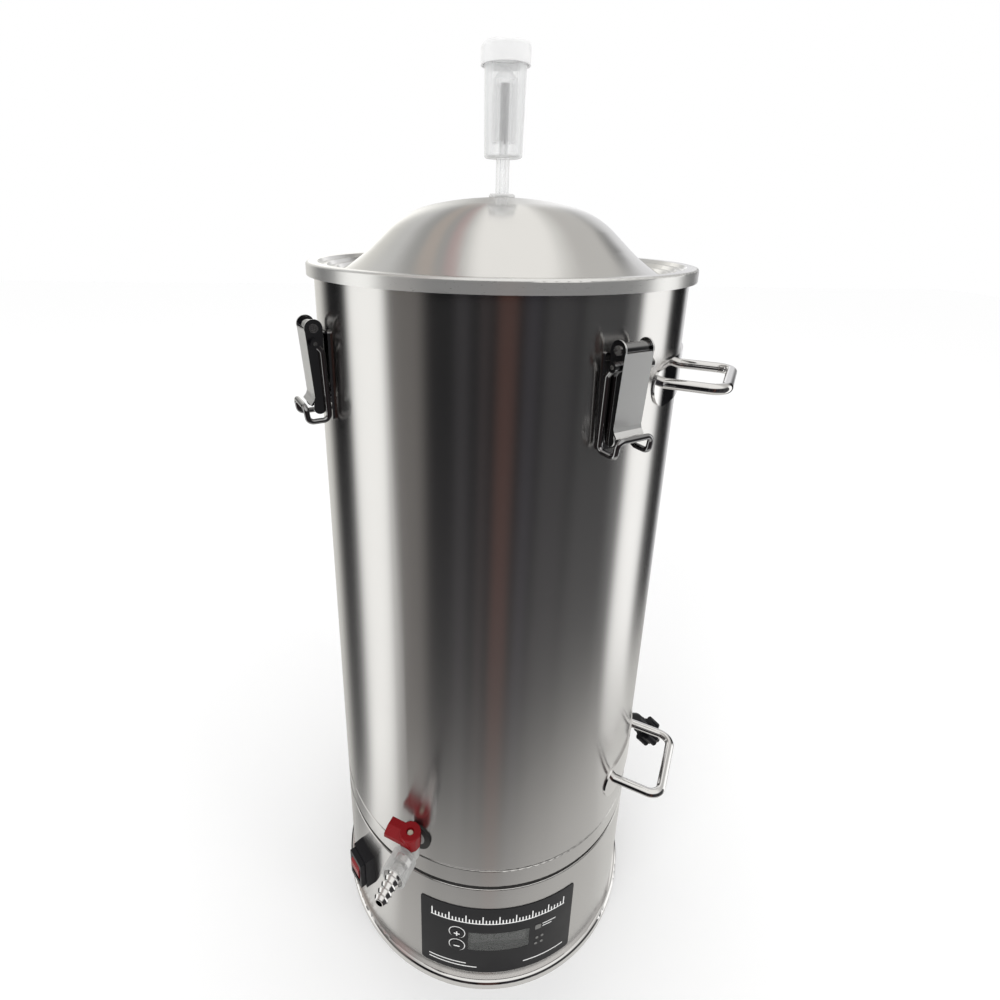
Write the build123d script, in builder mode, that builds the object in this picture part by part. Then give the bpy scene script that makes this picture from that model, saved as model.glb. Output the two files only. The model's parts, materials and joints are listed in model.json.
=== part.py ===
from build123d import *
import os
from math import cos, radians, sin

os.makedirs("parts", exist_ok=True)

# Electric all-in-one brewer. Millimetres, Z up, origin on the standing plane at the
# vessel's axis. The control panel faces -Y. Azimuth is measured from -Y towards +X.

FIT = 0.05                  # radial clearance of a running fit
GAP = 0.1                   # clearance where two neighbouring pieces may not rub
TALL = 2000.0               # a cutter taller than the whole brewer
REACH = 20.0                # how far a wall cutter reaches in and out

# vessel and rim
R_BODY = 150.0
T_WALL = 0.8
Z_VESSEL = 154.2
T_FLOOR = 1.2
R_FLOOR_CORNER = 6.0
R_VESSEL_EDGE = 2.0
Z_BEAD = 649.5
R_BEAD_RING = 151.4
R_BEAD = 3.0
Z_RIM_TOP = 656.5
Z_RIM_LOW = 647.0
R_RIM = 155.5

# joint band, gasket groove, base shell and foot ring
Z_BAND_LOW = 134.8
Z_BAND_TOP = 154.2
Z_GROOVE_LOW = 130.4
R_GROOVE = 147.6
LEDGE = 8.0
Z_BASE_LOW = 9.0
R_FOOT = 154.5
T_FOOT = 1.0
Z_PLATE = 12.0
T_PLATE = 1.2
R_PLATE = R_BODY - T_WALL
R_FOOT_BEND = 3.0
R_FOOT_PAD = 11.0
PAD_PCD_R = 118.0
PAD_COUNT = 4
PAD_START = 45.0
R_PAD_PEG = 3.0
PAD_PEG_RISE = 2.0
PAD_TAPER = 3.0
R_PAD_EDGE = 1.0
SLOT_PCD_R = 60.0
SLOT_COUNT = 8
L_SLOT = 36.0
W_SLOT = 5.0
SCREW_PCD_R = 144.6
SCREW_COUNT = 6
SCREW_START = 20.0
R_SCREW = 1.7
R_SCREW_HEAD = 3.2
H_SCREW_HEAD = 2.0
L_SCREW = 5.0
SCREW_TAPER = 12.0
L_RECESS = 4.0
W_RECESS = 0.8
RECESS_DEPTH = 1.0

# lid and airlock, all on the vessel's axis
LID_T = 0.7
W_SEAL = 3.8
Z_DOME_TOP = 705.5
CROWN_END = (55.0, 699.5)
SHOULDER_END = (90.0, 681.0)
R_SHOULDER = 74.6
FLARE_START = (104.0, 667.5)
R_FLARE = 106.7
DOME_END = (128.0, 650.0)
# turned steps of the flat ring between the dome and the rim, as (radius, height)
LID_STEPS = [(131.0, 648.6), (132.6, 651.4), (138.0, 651.4), (139.6, 654.0), (145.0, 654.0)]
R_LID_SHOULDER = 146.8
R_RIM_EDGE = 2.0
R_SEAL_EDGE = 0.8
R_LID_HOLE = 8.0
R_GROMMET = 10.4
GROMMET_EDGE = 1.0
GROMMET_GRIP = 2.2
H_GROMMET_TAIL = 2.4
W_GROMMET_TAIL = 1.4
R_STEM = 5.3
STEM_TAIL = 8.0
STEM_LEAD_IN = (0.6, 2.0)
Z_GROMMET_TOP = 708.0
Z_LOCK_LOW = 734.0
Z_LOCK_TOP = 803.0
R_LOCK_LOW = 15.0
R_LOCK_TOP = 16.2
T_LOCK = 1.3
R_LOCK_EDGE = 2.0
LOCK_CORNER = 1.0
R_RISER = 3.6
T_RISER = 1.0
Z_RISER_TOP = 786.0
R_BELL = 9.8
T_BELL = 1.1
Z_BELL_LOW = 745.0
Z_BELL_TOP = 796.0
H_BELL_CONE = 8.0
R_BELL_TIP = 3.0
R_BELL_CEILING = 4.4
BELL_CHAMFER = 1.4
BELL_NOTCH = (3.0, 2.0)
BELL_NOTCH_COUNT = 4
R_CAP = 18.8
T_CAP = 1.4
Z_CAP_LOW = 801.6
Z_CAP_TOP = 813.0
R_CAP_EDGE = 4.0
H_CAP_SKIRT = 4.0
W_CAP_SEAT = 0.8
CAP_HOLE_PCD_R = 9.5
R_CAP_HOLE = 0.9
CAP_HOLE_COUNT = 6

# draw latches
LATCH_AZ = [25.0, 115.0, 205.0, 295.0]
LATCH_NAMES = ["latch_a", "latch_b", "latch_c", "latch_d"]
W_BRACKET = 27.0
T_LATCH = 1.2
Z_BRACKET_LOW = 544.0
Z_BRACKET_TOP = 610.8
R_BRACKET_CORNER = 1.5
Z_LATCH_PIN = 613.7
OUT_LATCH_PIN = 10.5
R_LATCH_PIN = 2.0
R_RIVET_HEAD = 3.2
H_RIVET_HEAD = 0.8
R_KNUCKLE = 4.6
W_KNUCKLE = 21.0
W_LEVER = 24.0
R_LEVER_EAR = 6.5
# lever face, then its flared lip, as (distance out, height); outer side first
LEVER_FACE = [(16.7, 612.5), (13.0, 563.0), (13.8, 560.6), (16.3, 557.4)]
LEVER_FACE_IN = [(15.5, 556.5), (12.7, 560.1), (11.8, 563.1), (15.5, 612.5)]
LEVER_BACK = [(4.0, 613.7), (4.6, 575.0), (5.0, 554.5)]
R_LEVER_LUG = 4.6
LEVER_LUG = (9.6, 554.5)
# bail: pin eye, knee, two corners of the J and the cross bar, as (distance out, height)
BAIL_PATH = [(11.0, 603.5), (5.8, 597.0), (3.9, 545.5), (19.4, 545.5), (21.0, 557.0)]
BAIL_SHIFT = 14.4
R_BAIL = 2.1
R_BAIL_CORNER = 4.5
R_BAIL_EYE = 3.5
R_HOOK_PIN = 1.5

# carrying handles
HANDLE_AZ = [59.4, 231.0]
Z_HANDLE_UPPER = 580.0
Z_HANDLE_LOWER = 199.5
W_HANDLE = 70.0
OUT_HANDLE = 37.5
R_ROD = 4.0
R_ROD_BEND = 11.0
W_HANDLE_PLATE = 102.0
H_HANDLE_PLATE = 34.0
T_HANDLE_PLATE = 1.5
ROD_ROOT = 12.0

# drain tap
TAP_AZ = -29.3
Z_TAP = 178.0
R_SHANK = 8.0
R_TAP_BORE = 3.6
OUT_WASHER = 1.4
R_TAP_WASHER = 13.5
R_WASHER_EDGE = 0.6
WASHER_ROOT = 4.0
SHANK_ROOT = 12.0
PLUG_SEAT = 2.0
R_TUBE_EDGE = 0.8
R_TAP_NECK = 5.4
OUT_NECK_END = 20.2
R_TAP_TUBE = 11.0
T_TAP_TUBE = 2.2
OUT_TUBE_END = 39.0
OUT_STEM = 10.8
R_PLUG = 5.6
R_TAP_BOSS = 7.8
R_TAP_STEM = 2.6
TAP_HUB_RISE = 5.6
H_HUB = 13.0
R_HUB = 9.2
HUB_SIDES = 12
STEM_RECESS = 2.4
STEM_SINK = 1.6
W_STEM_RECESS = 0.8
R_STEM_EDGE = 0.6
LEVER_BEHIND = 5.0
LEVER_RIDGE = 2.3
LEVER_SLOPE = 3.5
R_TAP_LEVER_EDGE = 0.8
L_TAP_LEVER = 20.5
OUT_NOZZLE_END = 59.0
R_NOZZLE_BORE = 3.0
R_BARB = 6.7
BARB_STEP = 0.2
BARB_DEPTH = 1.5
BARB_COUNT = 5
L_BARB = 5.0
BARB_RUN = [0.3, 1.2, 2.4]
NOZZLE_START = 1.0
NOZZLE_SEAT = 5.0
R_NOZZLE_NECK = [5.4, 5.2]
R_NOZZLE_TIP = 4.0
TAP_NUT_AF = 26.0
TAP_NUT_T = 6.0
TAP_NUT_BACK = 1.3

# side port behind the right-hand handle
PORT_AZ = 84.0
Z_PORT = 172.0
R_PORT_SHANK = 6.0
R_PORT_BODY = 7.5
R_PORT_WASHER = 10.5
PORT_ELBOW_OUT = 14.0
PORT_TILT = 45.0
PORT_LEG = 24.0
PORT_NUT_T = 13.0
PORT_NUT_CAP = 3.0
R_PORT_NUT_CORE = 10.5
R_PORT_NUT_LOBE = 3.4
PORT_LOBES = 6
PORT_ROOT = 10.0
R_PORT_STUB = 3.5
T_PORT_STUB = 0.9
PORT_STUB_START = 4.0
PORT_BACKNUT_R = 9.5
PORT_BACKNUT_T = 5.0
PORT_BACKNUT_BACK = 1.0
PORT_STUB_END = 37.0

# control panel on the base shell
PANEL_HALF_AZ = 28.3
Z_PANEL_LOW = 17.5
Z_PANEL_TOP = 105.5
T_PANEL = 0.5
T_PRINT = 0.15
R_PANEL_CORNER = 3.0
WINDOW_AZ = 0.0
W_WINDOW = 57.0
Z_WINDOW_LOW = 48.8
Z_WINDOW_TOP = 73.0
R_WINDOW_CORNER = 1.5
T_WINDOW = 1.5
BUTTON_AZ = -14.8
Z_PLUS = 70.5
Z_MINUS = 53.3
R_BUTTON = 6.7
R_RING_IN = 7.0
R_RING_OUT = 7.7
BUTTON_DEPTH = 6.4
BUTTON_PROUD = 0.9
R_BUTTON_EDGE = 0.5
W_BUTTON_LIP = 0.8
T_BUTTON_LIP = 1.5
L_SIGN = 6.4
W_SIGN = 1.3
H_SIGN = 0.4
LED_DEPTH = 8.4
LED_POINTS = [(13.9, 55.6), (15.9, 56.2), (13.6, 47.8), (15.8, 48.1)]
R_LED = 1.5
STATUS_LED = (14.1, 70.7)
W_STATUS_LED = 6.0
R_STATUS_CORNER = 1.2
LED_PROUD = 0.3
OUT_BOARD = -16.0
W_BOARD = 118.0
H_BOARD = 62.0
T_BOARD = 1.6
Z_BOARD = 61.0
R_BOARD_CORNER = 2.0
BOARD_MARGIN = 8.0
R_BOARD_HOLE = 1.6
BOARD_BACK = 14.0
# components behind the board, as (x, y, width, height), and one round can
BOARD_BLOCKS = [(-32.0, -8.0, 18.0, 15.0), (-8.0, -12.0, 15.0, 12.0)]
BOARD_CAN = (30.0, -6.0)
R_BOARD_CAN = 6.0
R_POST = 2.6
R_POST_PEG = 1.5
LCD_MARGINS = (3.0, 4.0, 6.0, 3.0)
T_LCD_FRAME = 5.0
T_LCD_GLASS = 3.2

# light print on the panel: bars as (x, height, width, thickness) and a ruled scale
PRINT_BARS = [(0.0, 86.0, 124.0, 0.9), (47.5, 72.6, 13.0, 0.8), (45.5, 69.4, 9.0, 0.8),
              (-47.0, 28.8, 34.0, 1.0), (-42.0, 24.6, 44.0, 1.0), (44.0, 27.6, 40.0, 1.0)]
Z_SCALE = 86.0
SCALE_TICKS = 20
TICK_STEP = 3.05
W_TICK = 1.0
SHORT_TICK = 5.0
LONG_TICK = 9.5
LONG_TICK_EVERY = 5

# rocker switch
SWITCH_AZ = -55.8
Z_SWITCH = 81.5
W_SWITCH = 25.0
H_SWITCH = 35.0
PLAY = 1.0
OUT_SWITCH_STEP = 9.0
OUT_SWITCH_FACE = 14.0
OUT_ROCKER_PIN = 6.0
R_ROCKER = 10.8
W_ROCKER = 15.0
ROCKER_REST = 8.0
R_ROCKER_PIN = 1.2
L_ROCKER_PEG = 2.0
ROCKER_CROWN = 1.2
ROCKER_CUTTER = (20.0, 40.0)
SWITCH_FLANGE = 2.5
SWITCH_STEP = 2.0
SWITCH_TAPER = 3.0
R_SWITCH_CORNER = 1.5
SWITCH_ROOT = 2.0

# mains inlet at the back
INLET_AZ = 180.0
Z_INLET = 62.0
W_INLET = 50.0
H_INLET = 28.0
W_INLET_BODY = 30.0
H_INLET_BODY = 24.0
OUT_INLET = 3.0
INLET_SCREW_X = 20.0
INLET_DEPTH = 22.0
W_SOCKET = 24.0
H_SOCKET = 17.0
R_INLET_CORNER = 3.0
R_SOCKET_CORNER = 3.5
SOCKET_DEPTH = 15.0
BLADE_SPOTS = [(-7.0, 0.0), (0.0, 2.5), (7.0, 0.0)]
W_BLADE = 1.4
H_BLADE = 4.2

# ventilation slots beside the inlet
VENT_AZ = [150.0, 160.0, 200.0, 210.0]
VENT_W = 3.0
VENT_H = 26.0

# heater under the vessel floor
R_SPREADER = 100.0
T_SPREADER = 5.0
R_ELEMENT_RING = 72.0
R_ELEMENT = 3.6
R_CUTOUT = 8.5
H_CUTOUT = 9.0
R_PROBE = 4.0
H_PROBE = 14.0
SPREADER_CHAMFER = 1.5
ELEMENT_ARC = 330.0
L_ELEMENT_END = 22.0
CUTOUT_SPOT = (30.0, 20.0)
TAB_SPREAD = 4.0
TAB_SIZE = (1.0, 5.0)
L_TAB = 7.0
R_PROBE_EDGE = 1.0


def outward(az):
    a = radians(az)
    return Vector(sin(a), -cos(a), 0)


def sideways(az):
    a = radians(az)
    return Vector(cos(a), sin(a), 0)


def wall_plane(az, z, out=0.0):
    """Plane facing away from the axis: X sideways, Y up, normal outward."""
    origin = outward(az) * (R_BODY + out) + Vector(0, 0, z)
    return Plane(origin=origin, x_dir=sideways(az), z_dir=outward(az))


def side_plane(az, shift=0.0):
    """Upright plane through the axis: X is the distance out from the wall, Y is up."""
    origin = outward(az) * R_BODY + sideways(az) * shift
    return Plane(origin=origin, x_dir=outward(az), z_dir=-sideways(az))


def flat_plane(az, z):
    """Level plane: X is the distance out from the wall, Y is sideways."""
    origin = outward(az) * R_BODY + Vector(0, 0, z)
    return Plane(origin=origin, x_dir=outward(az), z_dir=(0, 0, 1))


def ring(r_in, r_out, z_low, z_top):
    """Plain turned ring about the Z axis."""
    with BuildPart() as turned:
        with BuildSketch(Plane.XY.offset(z_low)):
            Circle(r_out)
            Circle(r_in, mode=Mode.SUBTRACT)
        extrude(amount=z_top - z_low)
    return turned.part


def save(part, label):
    part.label = label
    export_step(part, f"parts/{label}.step")


# ---------------------------------------------------------------- vessel
with BuildPart() as vessel:
    with BuildSketch(Plane.XZ):
        with BuildLine():
            r_in = R_BODY - T_WALL
            z_in = Z_VESSEL + T_FLOOR
            Line((0, Z_VESSEL), (R_BODY - R_VESSEL_EDGE, Z_VESSEL))
            RadiusArc((R_BODY - R_VESSEL_EDGE, Z_VESSEL), (R_BODY, Z_VESSEL + R_VESSEL_EDGE),
                      -R_VESSEL_EDGE)
            Polyline((R_BODY, Z_VESSEL + R_VESSEL_EDGE), (R_BODY, Z_BEAD), (r_in, Z_BEAD),
                     (r_in, z_in + R_FLOOR_CORNER))
            RadiusArc((r_in, z_in + R_FLOOR_CORNER), (r_in - R_FLOOR_CORNER, z_in),
                      R_FLOOR_CORNER)
            Polyline((r_in - R_FLOOR_CORNER, z_in), (0, z_in), (0, Z_VESSEL))
        make_face()
        with Locations((R_BEAD_RING, Z_BEAD)):
            Circle(R_BEAD)
            Circle(R_BEAD - T_WALL, mode=Mode.SUBTRACT)
    revolve(axis=Axis.Z)
    with BuildSketch(wall_plane(TAP_AZ, Z_TAP, -REACH / 2)):
        Circle(R_SHANK + FIT)
    extrude(amount=REACH, mode=Mode.SUBTRACT)
    with BuildSketch(wall_plane(PORT_AZ, Z_PORT, -REACH / 2)):
        Circle(R_PORT_SHANK + FIT)
    extrude(amount=REACH, mode=Mode.SUBTRACT)
save(vessel.part, "vessel")

with BuildPart() as joint_band:
    with BuildSketch(Plane.XZ):
        with BuildLine():
            Polyline((R_BODY - LEDGE, Z_BAND_TOP - T_WALL), (R_BODY - T_WALL, Z_BAND_TOP - T_WALL),
                     (R_BODY - T_WALL, Z_BAND_LOW + T_WALL), (R_BODY - LEDGE, Z_BAND_LOW + T_WALL),
                     (R_BODY - LEDGE, Z_BAND_LOW), (R_BODY - T_WALL, Z_BAND_LOW))
            RadiusArc((R_BODY - T_WALL, Z_BAND_LOW), (R_BODY, Z_BAND_LOW + T_WALL), -T_WALL)
            Line((R_BODY, Z_BAND_LOW + T_WALL), (R_BODY, Z_BAND_TOP - T_WALL))
            RadiusArc((R_BODY, Z_BAND_TOP - T_WALL), (R_BODY - T_WALL, Z_BAND_TOP), -T_WALL)
            Polyline((R_BODY - T_WALL, Z_BAND_TOP), (R_BODY - LEDGE, Z_BAND_TOP),
                     (R_BODY - LEDGE, Z_BAND_TOP - T_WALL))
        make_face()
    revolve(axis=Axis.Z)
save(joint_band.part, "joint_band")

with BuildPart() as band_gasket:
    with BuildSketch(Plane.XZ):
        with Locations(((R_BODY - LEDGE + R_GROOVE) / 2, (Z_GROOVE_LOW + Z_BAND_LOW) / 2)):
            Rectangle(R_GROOVE - R_BODY + LEDGE, Z_BAND_LOW - Z_GROOVE_LOW)
    revolve(axis=Axis.Z)
save(band_gasket.part, "band_gasket")

# ---------------------------------------------------------------- base shell
panel_middle = (Z_PANEL_LOW + Z_PANEL_TOP) / 2
window_middle = (Z_WINDOW_LOW + Z_WINDOW_TOP) / 2
window_height = Z_WINDOW_TOP - Z_WINDOW_LOW
button_points = [(BUTTON_AZ, Z_PLUS), (BUTTON_AZ, Z_MINUS)]


def control_cutter(depth_in, depth_out):
    """Plugs for the display window, button and indicator holes of a curved wall."""
    length = depth_out - depth_in
    with BuildPart() as plugs:
        with BuildSketch(wall_plane(WINDOW_AZ, window_middle, depth_in)):
            RectangleRounded(W_WINDOW + 2 * FIT, window_height + 2 * FIT, R_WINDOW_CORNER)
        extrude(amount=length)
        for az, z in button_points:
            with BuildSketch(wall_plane(az, z, depth_in)):
                Circle(R_BUTTON + FIT)
            extrude(amount=length)
        for az, z in LED_POINTS:
            with BuildSketch(wall_plane(az, z, depth_in)):
                Circle(R_LED)
            extrude(amount=length)
        with BuildSketch(wall_plane(*STATUS_LED, depth_in)):
            RectangleRounded(W_STATUS_LED, W_STATUS_LED, R_STATUS_CORNER)
        extrude(amount=length)
    return plugs.part


with BuildPart() as base_shell:
    with BuildSketch(Plane.XZ):
        with BuildLine():
            Polyline((R_BODY - T_WALL, Z_BASE_LOW), (R_BODY, Z_BASE_LOW),
                     (R_BODY, Z_GROOVE_LOW - T_WALL))
            RadiusArc((R_BODY, Z_GROOVE_LOW - T_WALL), (R_BODY - T_WALL, Z_GROOVE_LOW), -T_WALL)
            Polyline((R_BODY - T_WALL, Z_GROOVE_LOW), (R_BODY - LEDGE, Z_GROOVE_LOW),
                     (R_BODY - LEDGE, Z_GROOVE_LOW - T_WALL),
                     (R_BODY - T_WALL, Z_GROOVE_LOW - T_WALL), (R_BODY - T_WALL, Z_BASE_LOW))
        make_face()
    revolve(axis=Axis.Z)
    add(control_cutter(-REACH, REACH), mode=Mode.SUBTRACT)
    with BuildSketch(wall_plane(SWITCH_AZ, Z_SWITCH, -REACH)):
        Rectangle(W_SWITCH - 2 * SWITCH_FLANGE, H_SWITCH - 2 * SWITCH_FLANGE)
    extrude(amount=2 * REACH, mode=Mode.SUBTRACT)
    with BuildSketch(wall_plane(INLET_AZ, Z_INLET, -REACH)):
        Rectangle(W_INLET_BODY, H_INLET_BODY)
        with Locations((-INLET_SCREW_X, 0), (INLET_SCREW_X, 0)):
            Circle(R_SCREW)
    extrude(amount=2 * REACH, mode=Mode.SUBTRACT)
    for az in VENT_AZ:
        with BuildSketch(wall_plane(az, Z_INLET, -REACH)):
            SlotOverall(VENT_H, VENT_W, rotation=90)
        extrude(amount=2 * REACH, mode=Mode.SUBTRACT)
save(base_shell.part, "base_shell")

with BuildPart() as foot_ring:
    with BuildSketch(Plane.XZ):
        with BuildLine():
            Polyline((R_BODY, Z_BASE_LOW), (R_PLATE - LEDGE, Z_BASE_LOW),
                     (R_PLATE - LEDGE, Z_BASE_LOW - T_FOOT),
                     (R_FOOT - R_FOOT_BEND, Z_BASE_LOW - T_FOOT))
            RadiusArc((R_FOOT - R_FOOT_BEND, Z_BASE_LOW - T_FOOT),
                      (R_FOOT - T_FOOT, Z_BASE_LOW - R_FOOT_BEND), R_FOOT_BEND - T_FOOT)
            Polyline((R_FOOT - T_FOOT, Z_BASE_LOW - R_FOOT_BEND), (R_FOOT - T_FOOT, 0), (R_FOOT, 0),
                     (R_FOOT, Z_BASE_LOW - R_FOOT_BEND))
            RadiusArc((R_FOOT, Z_BASE_LOW - R_FOOT_BEND), (R_FOOT - R_FOOT_BEND, Z_BASE_LOW),
                      -R_FOOT_BEND)
            Line((R_FOOT - R_FOOT_BEND, Z_BASE_LOW), (R_BODY, Z_BASE_LOW))
        make_face()
    revolve(axis=Axis.Z)
    with BuildSketch(Plane.XY.offset(Z_BASE_LOW)):
        with PolarLocations(SCREW_PCD_R, SCREW_COUNT, start_angle=SCREW_START):
            Circle(R_SCREW + GAP)
    extrude(amount=-2 * T_FOOT, mode=Mode.SUBTRACT)
save(foot_ring.part, "foot_ring")

with BuildPart() as base_plate:
    with BuildSketch(Plane.XY.offset(Z_BASE_LOW)):
        Circle(R_PLATE - GAP)
        with PolarLocations(PAD_PCD_R, PAD_COUNT, start_angle=PAD_START):
            Circle(R_PAD_PEG, mode=Mode.SUBTRACT)
        with PolarLocations(SLOT_PCD_R, SLOT_COUNT):
            SlotOverall(L_SLOT, W_SLOT, mode=Mode.SUBTRACT)
        with PolarLocations(SCREW_PCD_R, SCREW_COUNT, start_angle=SCREW_START):
            Circle(R_SCREW + GAP, mode=Mode.SUBTRACT)
    extrude(amount=T_PLATE)
save(base_plate.part, "base_plate")

with BuildPart() as machine_screws:
    # six up through the foot ring's ledge, two into the mains inlet's flange
    seats = [Plane.XY.offset(Z_BASE_LOW - T_FOOT) * loc
             for loc in PolarLocations(SCREW_PCD_R, SCREW_COUNT, start_angle=SCREW_START)]
    seats = [Plane(origin=seat.position, z_dir=(0, 0, -1)) for seat in seats]
    inlet_face = wall_plane(INLET_AZ, Z_INLET, OUT_INLET)
    seats += [Plane(origin=inlet_face.from_local_coords((x, 0, 0)), z_dir=inlet_face.z_dir)
              for x in (-INLET_SCREW_X, INLET_SCREW_X)]
    for seat in seats:
        with BuildSketch(seat):
            Circle(R_SCREW_HEAD)
        extrude(amount=H_SCREW_HEAD, taper=SCREW_TAPER)
        with BuildSketch(seat):
            Circle(R_SCREW)
        extrude(amount=-L_SCREW)
        with BuildSketch(seat.offset(H_SCREW_HEAD)):
            Rectangle(L_RECESS, W_RECESS)
            Rectangle(W_RECESS, L_RECESS)
        extrude(amount=-RECESS_DEPTH, mode=Mode.SUBTRACT)
save(machine_screws.part, "machine_screws")

with BuildPart() as rubber_feet:
    with BuildSketch():
        with PolarLocations(PAD_PCD_R, PAD_COUNT, start_angle=PAD_START):
            Circle(R_FOOT_PAD)
    extrude(amount=Z_BASE_LOW, taper=PAD_TAPER)
    with BuildSketch(Plane.XY.offset(Z_BASE_LOW)):
        with PolarLocations(PAD_PCD_R, PAD_COUNT, start_angle=PAD_START):
            Circle(R_PAD_PEG - FIT)
    extrude(amount=T_PLATE + PAD_PEG_RISE)
    fillet(rubber_feet.faces().sort_by(Axis.Z)[:PAD_COUNT].edges(), R_PAD_EDGE)
save(rubber_feet.part, "rubber_feet")

# ---------------------------------------------------------------- lid
with BuildPart() as lid:
    with BuildSketch(Plane.XZ):
        with BuildLine():
            # outer face: crown, shoulder, straight flank, flare, stepped ring, rim, skirt
            crown_drop = Z_DOME_TOP - CROWN_END[1]
            r_crown = (CROWN_END[0] ** 2 + crown_drop ** 2) / (2 * crown_drop)
            hole_z = Z_DOME_TOP - r_crown + (r_crown ** 2 - R_LID_HOLE ** 2) ** 0.5
            RadiusArc((R_LID_HOLE, hole_z), CROWN_END, r_crown)
            RadiusArc(CROWN_END, SHOULDER_END, R_SHOULDER)
            Line(SHOULDER_END, FLARE_START)
            RadiusArc(FLARE_START, DOME_END, -R_FLARE)
            Polyline(DOME_END, *LID_STEPS, (R_LID_SHOULDER, Z_RIM_TOP),
                     (R_RIM - R_RIM_EDGE, Z_RIM_TOP))
            RadiusArc((R_RIM - R_RIM_EDGE, Z_RIM_TOP), (R_RIM, Z_RIM_TOP - R_RIM_EDGE),
                      R_RIM_EDGE)
            Line((R_RIM, Z_RIM_TOP - R_RIM_EDGE), (R_RIM, Z_RIM_LOW))
            offset(amount=LID_T, side=Side.RIGHT)
        make_face()
    revolve(axis=Axis.Z)
save(lid.part, "lid")

with BuildPart() as lid_seal:
    with BuildSketch(Plane.XZ):
        with Locations((R_BEAD_RING, (Z_BEAD + R_BEAD + Z_RIM_TOP - LID_T) / 2)):
            Rectangle(W_SEAL, Z_RIM_TOP - LID_T - Z_BEAD - R_BEAD)
    revolve(axis=Axis.Z)
    fillet(lid_seal.edges().group_by(Axis.Z)[0], R_SEAL_EDGE)
save(lid_seal.part, "lid_seal")

with BuildPart() as lid_grommet:
    with BuildSketch(Plane.XZ):
        with BuildLine():
            neck = R_LID_HOLE - FIT
            z_skin = Z_DOME_TOP + GAP
            z_under = Z_DOME_TOP - GROMMET_GRIP
            z_tail = z_under - H_GROMMET_TAIL
            Polyline((R_STEM + FIT, Z_GROMMET_TOP), (R_GROMMET - GROMMET_EDGE, Z_GROMMET_TOP),
                     (R_GROMMET, Z_GROMMET_TOP - GROMMET_EDGE), (R_GROMMET, z_skin),
                     (neck, z_skin), (neck, z_under), (R_GROMMET, z_under),
                     (R_GROMMET - W_GROMMET_TAIL, z_tail), (R_STEM + FIT, z_tail),
                     (R_STEM + FIT, Z_GROMMET_TOP))
        make_face()
    revolve(axis=Axis.Z)
save(lid_grommet.part, "lid_grommet")

# ---------------------------------------------------------------- airlock
with BuildPart() as airlock_body:
    with BuildSketch(Plane.XZ):
        with BuildLine():
            z_stem_end = Z_DOME_TOP - STEM_TAIL
            z_floor = Z_LOCK_LOW + T_LOCK
            r_bore = R_RISER - T_RISER
            Polyline((r_bore, z_stem_end), (R_STEM - STEM_LEAD_IN[0], z_stem_end),
                     (R_STEM, z_stem_end + STEM_LEAD_IN[1]), (R_STEM, Z_LOCK_LOW),
                     (R_LOCK_LOW - R_LOCK_EDGE, Z_LOCK_LOW))
            RadiusArc((R_LOCK_LOW - R_LOCK_EDGE, Z_LOCK_LOW),
                      (R_LOCK_LOW, Z_LOCK_LOW + R_LOCK_EDGE), -R_LOCK_EDGE)
            Polyline((R_LOCK_LOW, Z_LOCK_LOW + R_LOCK_EDGE), (R_LOCK_TOP, Z_LOCK_TOP),
                     (R_LOCK_TOP - T_LOCK, Z_LOCK_TOP),
                     (R_LOCK_LOW - T_LOCK, z_floor + LOCK_CORNER),
                     (R_LOCK_LOW - T_LOCK - LOCK_CORNER, z_floor), (R_RISER, z_floor),
                     (R_RISER, Z_RISER_TOP), (r_bore, Z_RISER_TOP), (r_bore, z_stem_end))
        make_face()
    revolve(axis=Axis.Z)
save(airlock_body.part, "airlock_body")

with BuildPart() as airlock_bell:
    with BuildSketch(Plane.XZ):
        with BuildLine():
            z_ceiling = Z_RISER_TOP + FIT
            Polyline((R_BELL, Z_BELL_LOW), (R_BELL, Z_BELL_TOP - H_BELL_CONE),
                     (R_BELL_TIP, Z_BELL_TOP), (0, Z_BELL_TOP), (0, z_ceiling),
                     (R_BELL_CEILING, z_ceiling), (R_BELL - T_BELL, z_ceiling - BELL_CHAMFER),
                     (R_BELL - T_BELL, Z_BELL_LOW), (R_BELL, Z_BELL_LOW))
        make_face()
    revolve(axis=Axis.Z)
    with BuildSketch(Plane.XY.offset(Z_BELL_LOW)):
        with PolarLocations(R_BELL, BELL_NOTCH_COUNT):
            Rectangle(*BELL_NOTCH)
    extrude(amount=BELL_NOTCH[0], mode=Mode.SUBTRACT)
save(airlock_bell.part, "airlock_bell")

with BuildPart() as airlock_cap:
    with BuildSketch(Plane.XZ):
        with BuildLine():
            r_inside = R_CAP - T_CAP
            z_roof = Z_LOCK_TOP + FIT
            r_plug = R_LOCK_TOP - T_LOCK - W_CAP_SEAT
            z_skirt = Z_CAP_LOW - H_CAP_SKIRT
            Line((0, Z_CAP_TOP), (R_CAP - R_CAP_EDGE, Z_CAP_TOP))
            RadiusArc((R_CAP - R_CAP_EDGE, Z_CAP_TOP), (R_CAP, Z_CAP_TOP - R_CAP_EDGE),
                      R_CAP_EDGE)
            Polyline((R_CAP, Z_CAP_TOP - R_CAP_EDGE), (R_CAP, z_skirt), (r_inside, z_skirt),
                     (r_inside, z_roof), (r_plug, z_roof), (r_plug, Z_CAP_TOP - T_CAP),
                     (0, Z_CAP_TOP - T_CAP), (0, Z_CAP_TOP))
        make_face()
    revolve(axis=Axis.Z)
    with BuildSketch(Plane.XY.offset(Z_CAP_TOP)):
        with PolarLocations(CAP_HOLE_PCD_R, CAP_HOLE_COUNT):
            Circle(R_CAP_HOLE)
    extrude(amount=-3 * T_CAP, mode=Mode.SUBTRACT)
save(airlock_cap.part, "airlock_cap")

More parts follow.
